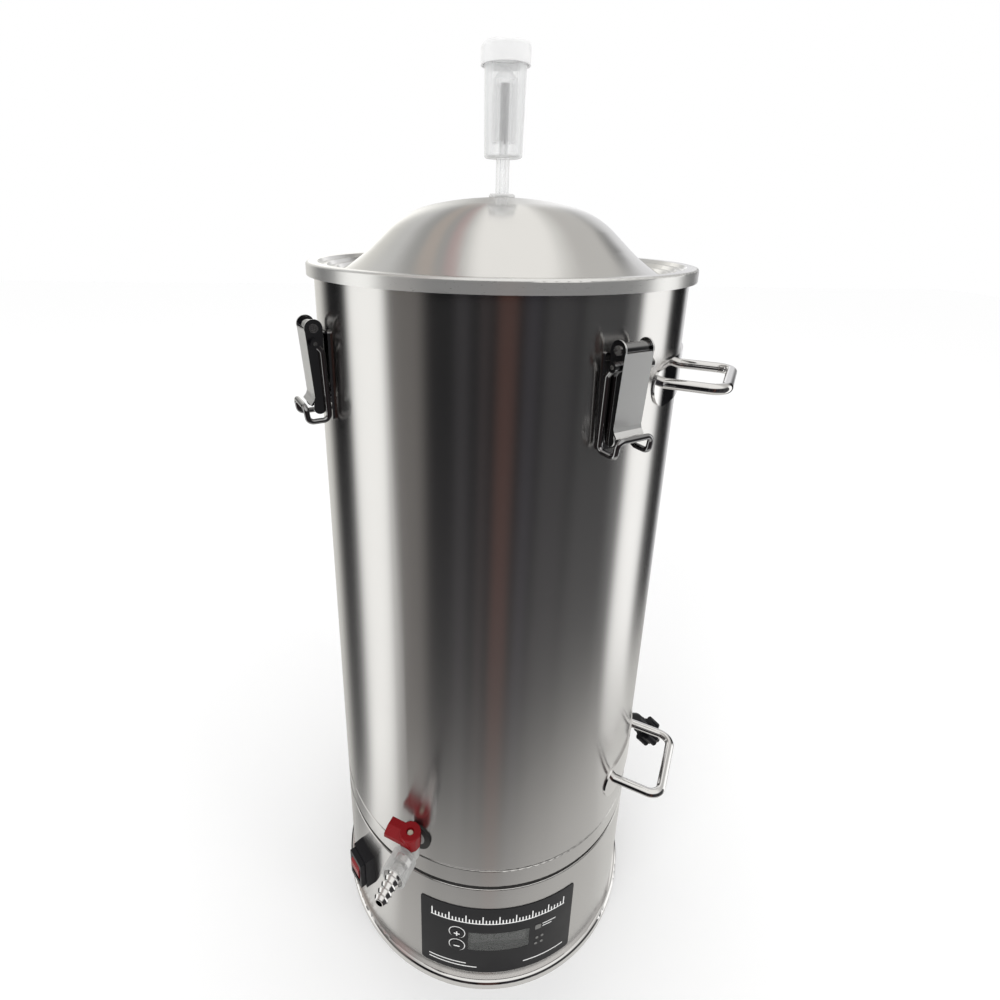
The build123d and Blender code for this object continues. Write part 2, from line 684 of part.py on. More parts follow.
# ---------------------------------------------------------------- draw latches
with BuildPart() as latch_brackets:
    for az in LATCH_AZ:
        # back plate follows the wall; its top edge is rolled into the pin's knuckle
        z_web = Z_LATCH_PIN - R_KNUCKLE
        with BuildSketch(wall_plane(az, (Z_BRACKET_LOW + Z_BRACKET_TOP) / 2, -R_BAIL)):
            RectangleRounded(W_BRACKET, Z_BRACKET_TOP - Z_BRACKET_LOW, R_BRACKET_CORNER)
        extrude(amount=R_BAIL + T_LATCH)
        with BuildSketch(side_plane(az)):
            with Locations((OUT_LATCH_PIN, Z_LATCH_PIN)):
                Circle(R_KNUCKLE)
            with Locations((OUT_LATCH_PIN / 2, z_web + T_LATCH / 2)):
                Rectangle(OUT_LATCH_PIN, T_LATCH)
            with Locations((OUT_LATCH_PIN, Z_LATCH_PIN)):
                Circle(R_LATCH_PIN, mode=Mode.SUBTRACT)
        extrude(amount=W_KNUCKLE / 2, both=True)
    Cylinder(R_BODY, TALL, mode=Mode.SUBTRACT)
save(latch_brackets.part, "latch_brackets")

with BuildPart() as latch_pins:
    for az in LATCH_AZ:
        with BuildSketch(side_plane(az)):
            with Locations((OUT_LATCH_PIN, Z_LATCH_PIN)):
                Circle(R_LATCH_PIN)
        extrude(amount=W_LEVER / 2 + FIT, both=True)
        for side in (-1, 1):
            with BuildSketch(side_plane(az, side * (W_LEVER / 2 + FIT))):
                with Locations((OUT_LATCH_PIN, Z_LATCH_PIN)):
                    Circle(R_RIVET_HEAD)
            extrude(amount=-side * H_RIVET_HEAD)
save(latch_pins.part, "latch_pins")


def latch_lever(az):
    """Pressed channel: two side cheeks turn on the bracket pin, a face plate joins them."""
    with BuildPart() as lever:
        with BuildSketch(side_plane(az)):
            with BuildLine():
                Polyline(LEVER_BACK[0], *LEVER_BACK[1:], (LEVER_LUG[0], LEVER_LUG[1] - T_LATCH),
                         (LEVER_LUG[0] + R_LEVER_LUG, LEVER_LUG[1]), LEVER_FACE[1],
                         LEVER_FACE[0], (OUT_LATCH_PIN, Z_LATCH_PIN), LEVER_BACK[0])
            make_face()
            with Locations((OUT_LATCH_PIN, Z_LATCH_PIN)):
                Circle(R_LEVER_EAR)
            with Locations(LEVER_LUG):
                Circle(R_LEVER_LUG)
        extrude(amount=W_LEVER / 2, both=True)
        with BuildSketch(side_plane(az)):
            with Locations((OUT_LATCH_PIN, Z_LATCH_PIN - W_BRACKET)):
                Rectangle(W_BRACKET, 4 * W_BRACKET)
        extrude(amount=W_LEVER / 2 - T_LATCH, both=True, mode=Mode.SUBTRACT)
        with BuildSketch(side_plane(az)):
            with BuildLine():
                Polyline(*LEVER_FACE, *LEVER_FACE_IN, LEVER_FACE[0])
            make_face()
        extrude(amount=W_LEVER / 2, both=True)
        with BuildSketch(side_plane(az)):
            with Locations((OUT_LATCH_PIN, Z_LATCH_PIN)):
                Circle(R_LATCH_PIN + FIT)
            with Locations(BAIL_PATH[0]):
                Circle(R_HOOK_PIN)
        extrude(amount=W_LEVER, both=True, mode=Mode.SUBTRACT)
    return lever.part


def latch_bail(az):
    """Bent rod: an eye and a J-shaped leg on each side of the lever, joined by a cross bar."""
    corner, tip = BAIL_PATH[-2:]
    joint = ((corner[0] + tip[0]) / 2, (corner[1] + tip[1]) / 2)
    with BuildPart() as bail:
        for side in (-1, 1):
            plane = side_plane(az, side * BAIL_SHIFT)
            with BuildLine(plane):
                FilletPolyline(*BAIL_PATH[:-1], joint, radius=R_BAIL_CORNER)
            start, knee = [plane.from_local_coords((*point, 0)) for point in BAIL_PATH[:2]]
            with BuildSketch(Plane(origin=start, z_dir=knee - start)):
                Circle(R_BAIL)
            sweep()
            with BuildSketch(plane):
                with Locations(BAIL_PATH[0]):
                    Circle(R_BAIL_EYE)
            extrude(amount=R_BAIL + FIT, both=True)
        # U-shaped front of the J, in the plane of its two outer legs
        middle = side_plane(az)
        low, high = [middle.from_local_coords((*point, 0)) for point in (joint, tip)]
        rise = (high - low).length
        front = Plane(origin=low, x_dir=sideways(az), z_dir=sideways(az).cross(high - low))
        with BuildLine(front):
            FilletPolyline((-BAIL_SHIFT, 0), (-BAIL_SHIFT, rise), (BAIL_SHIFT, rise),
                           (BAIL_SHIFT, 0), radius=R_BAIL_CORNER)
        with BuildSketch(Plane(origin=front.from_local_coords((-BAIL_SHIFT, 0, 0)),
                               z_dir=high - low)):
            Circle(R_BAIL)
        sweep()
        with BuildSketch(side_plane(az)):
            with Locations(BAIL_PATH[0]):
                Circle(R_HOOK_PIN + FIT)
        extrude(amount=2 * BAIL_SHIFT, both=True, mode=Mode.SUBTRACT)
    return bail.part


for az, name in zip(LATCH_AZ, LATCH_NAMES):
    save(latch_lever(az), f"{name}_lever")
    save(latch_bail(az), f"{name}_hook")
    with BuildPart() as hook_pin:
        with BuildSketch(side_plane(az)):
            with Locations(BAIL_PATH[0]):
                Circle(R_HOOK_PIN)
        extrude(amount=BAIL_SHIFT + R_BAIL, both=True)
    save(hook_pin.part, f"{name}_hook_pin")

# ---------------------------------------------------------------- carrying handles
HANDLES = [("handle_upper_right", HANDLE_AZ[0], Z_HANDLE_UPPER),
           ("handle_upper_left", HANDLE_AZ[1], Z_HANDLE_UPPER),
           ("handle_lower_right", HANDLE_AZ[0], Z_HANDLE_LOWER),
           ("handle_lower_left", HANDLE_AZ[1], Z_HANDLE_LOWER)]
for name, az, z in HANDLES:
    with BuildPart() as handle:
        half = W_HANDLE / 2
        with BuildLine(flat_plane(az, z)):
            FilletPolyline((-ROD_ROOT, -half), (OUT_HANDLE, -half), (OUT_HANDLE, half),
                           (-ROD_ROOT, half),
                           radius=R_ROD_BEND)
        start = flat_plane(az, z).from_local_coords((-ROD_ROOT, -half, 0))
        with BuildSketch(Plane(origin=start, z_dir=outward(az))):
            Circle(R_ROD)
        sweep()
        Cylinder(R_BODY + T_HANDLE_PLATE, TALL, mode=Mode.SUBTRACT)
    save(handle.part, name)

with BuildPart() as handle_plates:
    for name, az, z in HANDLES:
        with BuildSketch(wall_plane(az, z, -REACH)):
            SlotOverall(W_HANDLE_PLATE, H_HANDLE_PLATE)
        extrude(amount=2 * REACH)
    Cylinder(R_BODY + T_HANDLE_PLATE, TALL, mode=Mode.INTERSECT)
    Cylinder(R_BODY, TALL, mode=Mode.SUBTRACT)
save(handle_plates.part, "handle_plates")

# ---------------------------------------------------------------- drain tap
with BuildPart() as tap_washer:
    with BuildSketch(wall_plane(TAP_AZ, Z_TAP, -WASHER_ROOT)):
        Circle(R_TAP_WASHER)
        Circle(R_SHANK + FIT, mode=Mode.SUBTRACT)
    extrude(amount=WASHER_ROOT + OUT_WASHER)
    front = tap_washer.faces().sort_by(Axis((0, 0, 0), outward(TAP_AZ)))[-1]
    fillet(front.edges().sort_by(SortBy.LENGTH)[-1], R_WASHER_EDGE)
    Cylinder(R_BODY, TALL, mode=Mode.SUBTRACT)
save(tap_washer.part, "tap_washer")

with BuildPart() as tap_body:
    # threaded shank through the wall, slim valve neck, then the wide clear sleeve
    with BuildSketch(wall_plane(TAP_AZ, Z_TAP, -SHANK_ROOT)):
        Circle(R_SHANK)
    extrude(amount=SHANK_ROOT + OUT_WASHER)
    with BuildSketch(wall_plane(TAP_AZ, Z_TAP, OUT_WASHER)):
        Circle(R_TAP_NECK)
    extrude(amount=OUT_NECK_END - OUT_WASHER)
    with BuildSketch(flat_plane(TAP_AZ, Z_TAP - R_PLUG - PLUG_SEAT)):
        with Locations((OUT_STEM, 0)):
            Circle(R_TAP_BOSS)
    extrude(amount=R_PLUG + PLUG_SEAT + TAP_HUB_RISE - GAP)
    with BuildSketch(wall_plane(TAP_AZ, Z_TAP, OUT_NECK_END)):
        Circle(R_TAP_TUBE)
    extrude(amount=OUT_TUBE_END - OUT_NECK_END)
    fillet(tap_body.edges().filter_by(GeomType.CIRCLE)
           .sort_by(Axis((0, 0, 0), outward(TAP_AZ)))[-1], R_TUBE_EDGE)
    with BuildSketch(wall_plane(TAP_AZ, Z_TAP, -SHANK_ROOT)):
        Circle(R_TAP_BORE)
    extrude(amount=SHANK_ROOT + OUT_TUBE_END, mode=Mode.SUBTRACT)
    with BuildSketch(wall_plane(TAP_AZ, Z_TAP, OUT_NECK_END + T_TAP_TUBE)):
        Circle(R_TAP_TUBE - T_TAP_TUBE)
    extrude(amount=OUT_TUBE_END, mode=Mode.SUBTRACT)
    with BuildSketch(flat_plane(TAP_AZ, Z_TAP - R_PLUG - GAP)):
        with Locations((OUT_STEM, 0)):
            Circle(R_PLUG + FIT)
    extrude(amount=2 * REACH, mode=Mode.SUBTRACT)
save(tap_body.part, "tap_body")

with BuildPart() as tap_plug:
    # tapered core and its stem; closed at rest, the bore lies across the flow
    with BuildSketch(flat_plane(TAP_AZ, Z_TAP - R_PLUG)):
        with Locations((OUT_STEM, 0)):
            Circle(R_PLUG)
    extrude(amount=R_PLUG + TAP_HUB_RISE)
    with BuildSketch(flat_plane(TAP_AZ, Z_TAP)):
        with Locations((OUT_STEM, 0)):
            Circle(R_TAP_STEM)
    extrude(amount=TAP_HUB_RISE + H_HUB - STEM_SINK)
    fillet(tap_plug.faces().sort_by(Axis.Z)[-1].edges(), R_STEM_EDGE)
    with BuildSketch(side_plane(TAP_AZ)):
        with Locations((OUT_STEM, Z_TAP)):
            Circle(R_TAP_BORE - 2 * GAP)
    extrude(amount=REACH, both=True, mode=Mode.SUBTRACT)
save(tap_plug.part, "tap_plug")

with BuildPart() as tap_handle:
    z_hub = Z_TAP + TAP_HUB_RISE
    z_crown = z_hub + H_HUB
    z_lever = Z_TAP + R_TAP_TUBE + 4 * GAP
    with BuildSketch(flat_plane(TAP_AZ, z_hub)):
        with Locations((OUT_STEM, 0)):
            RegularPolygon(R_HUB, HUB_SIDES)
    extrude(amount=H_HUB)
    # ridged paddle; it points sideways, across the flow, while the tap is shut
    with BuildSketch(side_plane(TAP_AZ)):
        with BuildLine():
            back = OUT_STEM - LEVER_BEHIND
            Polyline((back, z_lever), (back, z_crown), (OUT_STEM + LEVER_RIDGE, z_crown),
                     (OUT_STEM + R_HUB, z_crown - LEVER_SLOPE), (OUT_STEM + R_HUB, z_lever),
                     (back, z_lever))
        make_face()
    extrude(amount=L_TAP_LEVER)
    fillet(tap_handle.edges().group_by(Axis.Z)[-1], R_TAP_LEVER_EDGE)
    with BuildSketch(flat_plane(TAP_AZ, z_hub)):
        with Locations((OUT_STEM, 0)):
            Circle(R_TAP_STEM)
    extrude(amount=H_HUB, mode=Mode.SUBTRACT)
    with BuildSketch(flat_plane(TAP_AZ, z_crown - STEM_RECESS)):
        with Locations((OUT_STEM, 0)):
            Circle(R_TAP_STEM + W_STEM_RECESS)
    extrude(amount=STEM_RECESS + GAP, mode=Mode.SUBTRACT)
save(tap_handle.part, "tap_handle")

with BuildPart() as tap_nozzle:
    with BuildSketch(side_plane(TAP_AZ)):
        with BuildLine():
            seat = R_TAP_TUBE - T_TAP_TUBE
            start = OUT_NECK_END + T_TAP_TUBE + NOZZLE_START
            tail = OUT_NOZZLE_END - BARB_COUNT * L_BARB
            profile = [(start, Z_TAP + R_NOZZLE_BORE), (start, Z_TAP + seat),
                       (start + NOZZLE_SEAT, Z_TAP + seat),
                       (start + NOZZLE_SEAT + NOZZLE_START, Z_TAP + R_NOZZLE_NECK[0]),
                       (tail, Z_TAP + R_NOZZLE_NECK[1])]
            for i in range(BARB_COUNT):
                foot = tail + i * L_BARB
                crest = Z_TAP + R_BARB - BARB_STEP * i
                profile += [(foot + BARB_RUN[0], crest - BARB_DEPTH), (foot + BARB_RUN[1], crest),
                            (foot + BARB_RUN[2], crest),
                            (foot + L_BARB - BARB_RUN[0], crest - BARB_DEPTH)]
            profile += [(OUT_NOZZLE_END, Z_TAP + R_NOZZLE_TIP),
                        (OUT_NOZZLE_END, Z_TAP + R_NOZZLE_BORE), (start, Z_TAP + R_NOZZLE_BORE)]
            Polyline(*profile)
        make_face()
    revolve(axis=Axis(origin=outward(TAP_AZ) * R_BODY + Vector(0, 0, Z_TAP),
                      direction=outward(TAP_AZ)))
save(tap_nozzle.part, "tap_nozzle")

with BuildPart() as tap_backnut:
    with BuildSketch(wall_plane(TAP_AZ, Z_TAP, -T_WALL - TAP_NUT_BACK)):
        RegularPolygon(TAP_NUT_AF / 2, 6, major_radius=False)
        Circle(R_SHANK, mode=Mode.SUBTRACT)
    extrude(amount=-TAP_NUT_T)
save(tap_backnut.part, "tap_backnut")

# ---------------------------------------------------------------- side port
port_bend = wall_plane(PORT_AZ, Z_PORT, PORT_ELBOW_OUT).origin
leg_dir = (outward(PORT_AZ) * cos(radians(PORT_TILT))
           - Vector(0, 0, sin(radians(PORT_TILT))))


def leg_plane(distance):
    """Plane square to the port's drooping leg, a distance along it from the bend."""
    return Plane(origin=port_bend + leg_dir * distance, x_dir=sideways(PORT_AZ), z_dir=leg_dir)


with BuildPart() as side_port_washer:
    with BuildSketch(wall_plane(PORT_AZ, Z_PORT, -WASHER_ROOT)):
        Circle(R_PORT_WASHER)
        Circle(R_PORT_SHANK + FIT, mode=Mode.SUBTRACT)
    extrude(amount=WASHER_ROOT + OUT_WASHER)
    Cylinder(R_BODY, TALL, mode=Mode.SUBTRACT)
save(side_port_washer.part, "side_port_washer")

with BuildPart() as side_port_elbow:
    with BuildSketch(wall_plane(PORT_AZ, Z_PORT, -PORT_ROOT)):
        Circle(R_PORT_SHANK)
    extrude(amount=PORT_ROOT + OUT_WASHER)
    with BuildSketch(wall_plane(PORT_AZ, Z_PORT, OUT_WASHER)):
        Circle(R_PORT_BODY)
    extrude(amount=PORT_ELBOW_OUT - OUT_WASHER)
    with Locations(port_bend):
        Sphere(R_PORT_BODY)
    with BuildSketch(leg_plane(0)):
        Circle(R_PORT_BODY)
    extrude(amount=PORT_LEG)
    with BuildSketch(wall_plane(PORT_AZ, Z_PORT, -PORT_ROOT)):
        Circle(R_PORT_STUB)
    extrude(amount=PORT_ROOT + PORT_ELBOW_OUT, mode=Mode.SUBTRACT)
    with BuildSketch(leg_plane(0)):
        Circle(R_PORT_STUB)
    extrude(amount=PORT_LEG, mode=Mode.SUBTRACT)
save(side_port_elbow.part, "side_port_elbow")

with BuildPart() as side_port_nut:
    nut_start = PORT_LEG - PORT_NUT_T + PORT_NUT_CAP
    with BuildSketch(leg_plane(nut_start)):
        Circle(R_PORT_NUT_CORE)
        with PolarLocations(R_PORT_NUT_CORE, PORT_LOBES):
            Circle(R_PORT_NUT_LOBE)
        Circle(R_PORT_BODY, mode=Mode.SUBTRACT)
    extrude(amount=PORT_NUT_T - PORT_NUT_CAP)
    with BuildSketch(leg_plane(PORT_LEG)):
        Circle(R_PORT_NUT_CORE)
        with PolarLocations(R_PORT_NUT_CORE, PORT_LOBES):
            Circle(R_PORT_NUT_LOBE)
        Circle(R_PORT_STUB, mode=Mode.SUBTRACT)
    extrude(amount=PORT_NUT_CAP)
save(side_port_nut.part, "side_port_nut")

with BuildPart() as side_port_stub:
    with BuildSketch(leg_plane(PORT_STUB_START)):
        Circle(R_PORT_STUB)
        Circle(R_PORT_STUB - T_PORT_STUB, mode=Mode.SUBTRACT)
    extrude(amount=PORT_STUB_END - PORT_STUB_START)
save(side_port_stub.part, "side_port_stub")

with BuildPart() as side_port_backnut:
    with BuildSketch(wall_plane(PORT_AZ, Z_PORT, -T_WALL - PORT_BACKNUT_BACK)):
        RegularPolygon(PORT_BACKNUT_R, 6, major_radius=False)
        Circle(R_PORT_SHANK, mode=Mode.SUBTRACT)
    extrude(amount=-PORT_BACKNUT_T)
save(side_port_backnut.part, "side_port_backnut")

# ---------------------------------------------------------------- control panel
with BuildPart() as control_panel:
    Cylinder(R_BODY + T_PANEL, TALL)
    Cylinder(R_BODY, TALL, mode=Mode.SUBTRACT)
    with BuildSketch(wall_plane(0, panel_middle, -R_BODY)):
        RectangleRounded(2 * R_BODY * sin(radians(PANEL_HALF_AZ)), Z_PANEL_TOP - Z_PANEL_LOW,
                         R_PANEL_CORNER)
    extrude(amount=2 * R_BODY, mode=Mode.INTERSECT)
    add(control_cutter(-REACH, REACH), mode=Mode.SUBTRACT)
save(control_panel.part, "control_panel")

with BuildPart() as print_tool:
    # rings round the two buttons, a ruled scale along the top and a few plain lines
    for az, z in button_points:
        with BuildSketch(wall_plane(az, z, -LEDGE)):
            Circle(R_RING_OUT)
            Circle(R_RING_IN, mode=Mode.SUBTRACT)
        extrude(amount=2 * LEDGE)
    with BuildSketch(wall_plane(0, 0, -R_BODY)):
        for x, z, width, height in PRINT_BARS:
            with Locations((x, z)):
                Rectangle(width, height)
        for i in range(-SCALE_TICKS, SCALE_TICKS + 1):
            tick = LONG_TICK if i % LONG_TICK_EVERY == 0 else SHORT_TICK
            with Locations((i * TICK_STEP, Z_SCALE + tick / 2)):
                Rectangle(W_TICK, tick)
    extrude(amount=2 * R_BODY)

with BuildPart() as panel_print:
    Cylinder(R_BODY + T_PANEL + T_PRINT, TALL)
    Cylinder(R_BODY + T_PANEL, TALL, mode=Mode.SUBTRACT)
    add(print_tool.part, mode=Mode.INTERSECT)
save(panel_print.part, "panel_print")

with BuildPart() as display_window:
    with BuildSketch(wall_plane(WINDOW_AZ, window_middle, -LEDGE)):
        RectangleRounded(W_WINDOW, window_height, R_WINDOW_CORNER)
    extrude(amount=2 * LEDGE)
    Cylinder(R_BODY + T_PANEL - GAP, TALL, mode=Mode.INTERSECT)
    Cylinder(R_BODY + T_PANEL - GAP - T_WINDOW, TALL, mode=Mode.SUBTRACT)
save(display_window.part, "display_window")

with BuildPart() as lcd_module:
    with BuildSketch(wall_plane(WINDOW_AZ, window_middle, OUT_BOARD + T_BOARD)):
        Rectangle(W_WINDOW - LCD_MARGINS[0], window_height + LCD_MARGINS[1])
    extrude(amount=T_LCD_FRAME)
    with BuildSketch(wall_plane(WINDOW_AZ, window_middle, OUT_BOARD + T_BOARD + T_LCD_FRAME)):
        Rectangle(W_WINDOW - LCD_MARGINS[2], window_height - LCD_MARGINS[3])
    extrude(amount=T_LCD_GLASS)
save(lcd_module.part, "lcd_module")

for (az, z), name in zip(button_points, ("button_plus", "button_minus")):
    with BuildPart() as button:
        with BuildSketch(wall_plane(az, z, -BUTTON_DEPTH)):
            Circle(R_BUTTON)
        extrude(amount=BUTTON_DEPTH + T_PANEL + BUTTON_PROUD)
        fillet(button.faces().sort_by(Axis((0, 0, 0), outward(az)))[-1].edges(), R_BUTTON_EDGE)
        with BuildSketch(wall_plane(az, z, -BUTTON_DEPTH)):
            Circle(R_BUTTON + W_BUTTON_LIP)
        extrude(amount=T_BUTTON_LIP)
        # raised sign on the cap
        with BuildSketch(wall_plane(az, z, T_PANEL + BUTTON_PROUD - GAP)):
            Rectangle(L_SIGN, W_SIGN)
            if name == "button_plus":
                Rectangle(W_SIGN, L_SIGN)
        extrude(amount=H_SIGN)
    save(button.part, name)

with BuildPart() as indicator_leds:
    for az, z in LED_POINTS:
        with BuildSketch(wall_plane(az, z, -LED_DEPTH)):
            Circle(R_LED)
        extrude(amount=LED_DEPTH + T_PANEL + LED_PROUD)
    with BuildSketch(wall_plane(*STATUS_LED, -LED_DEPTH)):
        RectangleRounded(W_STATUS_LED, W_STATUS_LED, R_STATUS_CORNER)
    extrude(amount=LED_DEPTH + T_PANEL + LED_PROUD)
save(indicator_leds.part, "indicator_leds")

with BuildPart() as control_board:
    with BuildSketch(wall_plane(0, Z_BOARD, OUT_BOARD)):
        RectangleRounded(W_BOARD, H_BOARD, R_BOARD_CORNER)
        with GridLocations(W_BOARD - BOARD_MARGIN, H_BOARD - BOARD_MARGIN, 2, 2):
            Circle(R_BOARD_HOLE, mode=Mode.SUBTRACT)
    extrude(amount=T_BOARD)
    with BuildSketch(wall_plane(0, Z_BOARD, OUT_BOARD)):
        for x, y, width, height in BOARD_BLOCKS:
            with Locations((x, y)):
                Rectangle(width, height)
        with Locations(BOARD_CAN):
            Circle(R_BOARD_CAN)
    extrude(amount=-BOARD_BACK)
save(control_board.part, "control_board")

with BuildPart() as board_posts:
    # four posts from the board to the shell's inner face
    board_face = wall_plane(0, Z_BOARD, OUT_BOARD + T_BOARD)
    for x in (-1, 1):
        for y in (-1, 1):
            spot = board_face.from_local_coords((x * (W_BOARD - BOARD_MARGIN) / 2,
                                                 y * (H_BOARD - BOARD_MARGIN) / 2, 0))
            seat = Plane(origin=spot, x_dir=board_face.x_dir, z_dir=board_face.z_dir)
            with BuildSketch(seat):
                Circle(R_POST)
            extrude(amount=-OUT_BOARD)
            with BuildSketch(seat):
                Circle(R_POST_PEG)
            extrude(amount=-T_BOARD - R_POST_PEG)
    Cylinder(R_BODY - T_WALL, TALL, mode=Mode.INTERSECT)
save(board_posts.part, "board_posts")

# ---------------------------------------------------------------- rocker switch
with BuildPart() as switch_housing:
    with BuildSketch(wall_plane(SWITCH_AZ, Z_SWITCH, -SWITCH_ROOT)):
        Rectangle(W_SWITCH, H_SWITCH)
    extrude(amount=OUT_SWITCH_STEP + SWITCH_ROOT, taper=SWITCH_TAPER)
    with BuildSketch(wall_plane(SWITCH_AZ, Z_SWITCH, OUT_SWITCH_STEP)):
        RectangleRounded(W_SWITCH - 2 * SWITCH_STEP, H_SWITCH - 2 * SWITCH_STEP,
                         R_SWITCH_CORNER)
    extrude(amount=OUT_SWITCH_FACE - OUT_SWITCH_STEP)
    Cylinder(R_BODY, TALL, mode=Mode.SUBTRACT)
    with BuildSketch(wall_plane(SWITCH_AZ, Z_SWITCH, -REACH)):
        Rectangle(W_SWITCH - 2 * SWITCH_FLANGE - 2 * GAP, H_SWITCH - 2 * SWITCH_FLANGE - 2 * GAP)
    extrude(amount=REACH + OUT_SWITCH_STEP)
    # well for the rocker
    with BuildSketch(wall_plane(SWITCH_AZ, Z_SWITCH, OUT_ROCKER_PIN - R_ROCKER - PLAY)):
        Rectangle(W_ROCKER + 2 * GAP, 2 * R_ROCKER + 2 * GAP)
    extrude(amount=2 * REACH, mode=Mode.SUBTRACT)
    with BuildSketch(side_plane(SWITCH_AZ)):
        with Locations((OUT_ROCKER_PIN, Z_SWITCH)):
            Circle(R_ROCKER_PIN + FIT)
    extrude(amount=W_ROCKER / 2 + L_ROCKER_PEG + GAP, both=True, mode=Mode.SUBTRACT)
save(switch_housing.part, "switch_housing")

with BuildPart() as switch_rocker:
    with BuildSketch(side_plane(SWITCH_AZ)):
        with Locations((OUT_ROCKER_PIN, Z_SWITCH)):
            Circle(R_ROCKER)
        # two shallow facets meet on the rocker's face
        face = OUT_SWITCH_FACE - OUT_ROCKER_PIN + ROCKER_CROWN
        for tilt in (-ROCKER_REST, ROCKER_REST):
            with Locations(Location((OUT_ROCKER_PIN, Z_SWITCH), tilt - ROCKER_REST)):
                with Locations((face + ROCKER_CUTTER[0] / 2, 0)):
                    Rectangle(*ROCKER_CUTTER, mode=Mode.SUBTRACT)
    extrude(amount=W_ROCKER / 2, both=True)
    with BuildSketch(side_plane(SWITCH_AZ)):
        with Locations((OUT_ROCKER_PIN, Z_SWITCH)):
            Circle(R_ROCKER_PIN)
    extrude(amount=W_ROCKER / 2 + L_ROCKER_PEG, both=True)
save(switch_rocker.part, "switch_rocker")

# ---------------------------------------------------------------- mains inlet
with BuildPart() as power_inlet:
    with BuildSketch(wall_plane(INLET_AZ, Z_INLET, -OUT_INLET)):
        RectangleRounded(W_INLET, H_INLET, R_INLET_CORNER)
    extrude(amount=2 * OUT_INLET)
    Cylinder(R_BODY, TALL, mode=Mode.SUBTRACT)
    with BuildSketch(wall_plane(INLET_AZ, Z_INLET, -INLET_DEPTH)):
        Rectangle(W_INLET_BODY - 2 * GAP, H_INLET_BODY - 2 * GAP)
    extrude(amount=INLET_DEPTH + OUT_INLET)
    with BuildSketch(wall_plane(INLET_AZ, Z_INLET, OUT_INLET)):
        RectangleRounded(W_SOCKET, H_SOCKET, R_SOCKET_CORNER)
        with Locations(*BLADE_SPOTS):
            Rectangle(W_BLADE, H_BLADE, mode=Mode.SUBTRACT)
    extrude(amount=-SOCKET_DEPTH, mode=Mode.SUBTRACT)
    with BuildSketch(wall_plane(INLET_AZ, Z_INLET, OUT_INLET)):
        with Locations((-INLET_SCREW_X, 0), (INLET_SCREW_X, 0)):
            Circle(R_SCREW)
    extrude(amount=-REACH, mode=Mode.SUBTRACT)
save(power_inlet.part, "power_inlet")

# ---------------------------------------------------------------- heater
with BuildPart() as heat_spreader:
    with BuildSketch(Plane.XY.offset(Z_VESSEL - T_SPREADER)):
        Circle(R_SPREADER)
    extrude(amount=T_SPREADER)
    chamfer(heat_spreader.edges().group_by(Axis.Z)[0], SPREADER_CHAMFER)
    with BuildSketch(Plane.XZ):
        with Locations((R_ELEMENT_RING, Z_VESSEL - T_SPREADER)):
            Circle(R_ELEMENT)
    revolve(axis=Axis.Z, mode=Mode.SUBTRACT)
save(heat_spreader.part, "heat_spreader")

with BuildPart() as heating_element:
    with BuildSketch(Plane.XZ):
        with Locations((R_ELEMENT_RING, Z_VESSEL - T_SPREADER)):
            Circle(R_ELEMENT)
    revolve(axis=Axis.Z, revolution_arc=ELEMENT_ARC)
    for angle in (0, ELEMENT_ARC):
        with BuildSketch(Plane.XY.offset(Z_VESSEL - T_SPREADER)):
            with PolarLocations(R_ELEMENT_RING, 1, start_angle=angle):
                Circle(R_ELEMENT)
        extrude(amount=-L_ELEMENT_END)
save(heating_element.part, "heating_element")

with BuildPart() as thermal_cutout:
    with BuildSketch(Plane.XY.offset(Z_VESSEL - T_SPREADER)):
        with Locations(CUTOUT_SPOT):
            Circle(R_CUTOUT)
    extrude(amount=-H_CUTOUT)
    with BuildSketch(Plane.XY.offset(Z_VESSEL - T_SPREADER - H_CUTOUT)):
        with Locations((CUTOUT_SPOT[0] - TAB_SPREAD, CUTOUT_SPOT[1]),
                       (CUTOUT_SPOT[0] + TAB_SPREAD, CUTOUT_SPOT[1])):
            Rectangle(*TAB_SIZE)
    extrude(amount=-L_TAB)
save(thermal_cutout.part, "thermal_cutout")

with BuildPart() as temperature_probe:
    with BuildSketch(Plane.XY.offset(Z_VESSEL - T_SPREADER)):
        Circle(R_PROBE)
    extrude(amount=-H_PROBE)
    fillet(temperature_probe.faces().sort_by(Axis.Z)[0].edges(), R_PROBE_EDGE)
save(temperature_probe.part, "temperature_probe")
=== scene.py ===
import json
import math
import bpy
from mathutils import Matrix, Vector


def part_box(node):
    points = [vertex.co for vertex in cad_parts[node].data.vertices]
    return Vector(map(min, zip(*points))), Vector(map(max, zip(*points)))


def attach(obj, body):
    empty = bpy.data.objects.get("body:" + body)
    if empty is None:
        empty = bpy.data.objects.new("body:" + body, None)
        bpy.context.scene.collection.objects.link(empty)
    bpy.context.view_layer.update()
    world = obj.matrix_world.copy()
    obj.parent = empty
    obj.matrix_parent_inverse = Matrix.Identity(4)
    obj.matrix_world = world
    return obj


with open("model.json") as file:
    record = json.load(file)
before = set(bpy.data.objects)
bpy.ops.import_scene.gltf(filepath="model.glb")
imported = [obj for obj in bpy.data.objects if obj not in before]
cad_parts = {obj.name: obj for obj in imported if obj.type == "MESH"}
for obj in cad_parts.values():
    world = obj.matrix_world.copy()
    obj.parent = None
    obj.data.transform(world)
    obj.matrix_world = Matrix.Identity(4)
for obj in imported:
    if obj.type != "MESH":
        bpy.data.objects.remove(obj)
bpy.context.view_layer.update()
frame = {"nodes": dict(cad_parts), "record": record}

NODES = frame["nodes"]

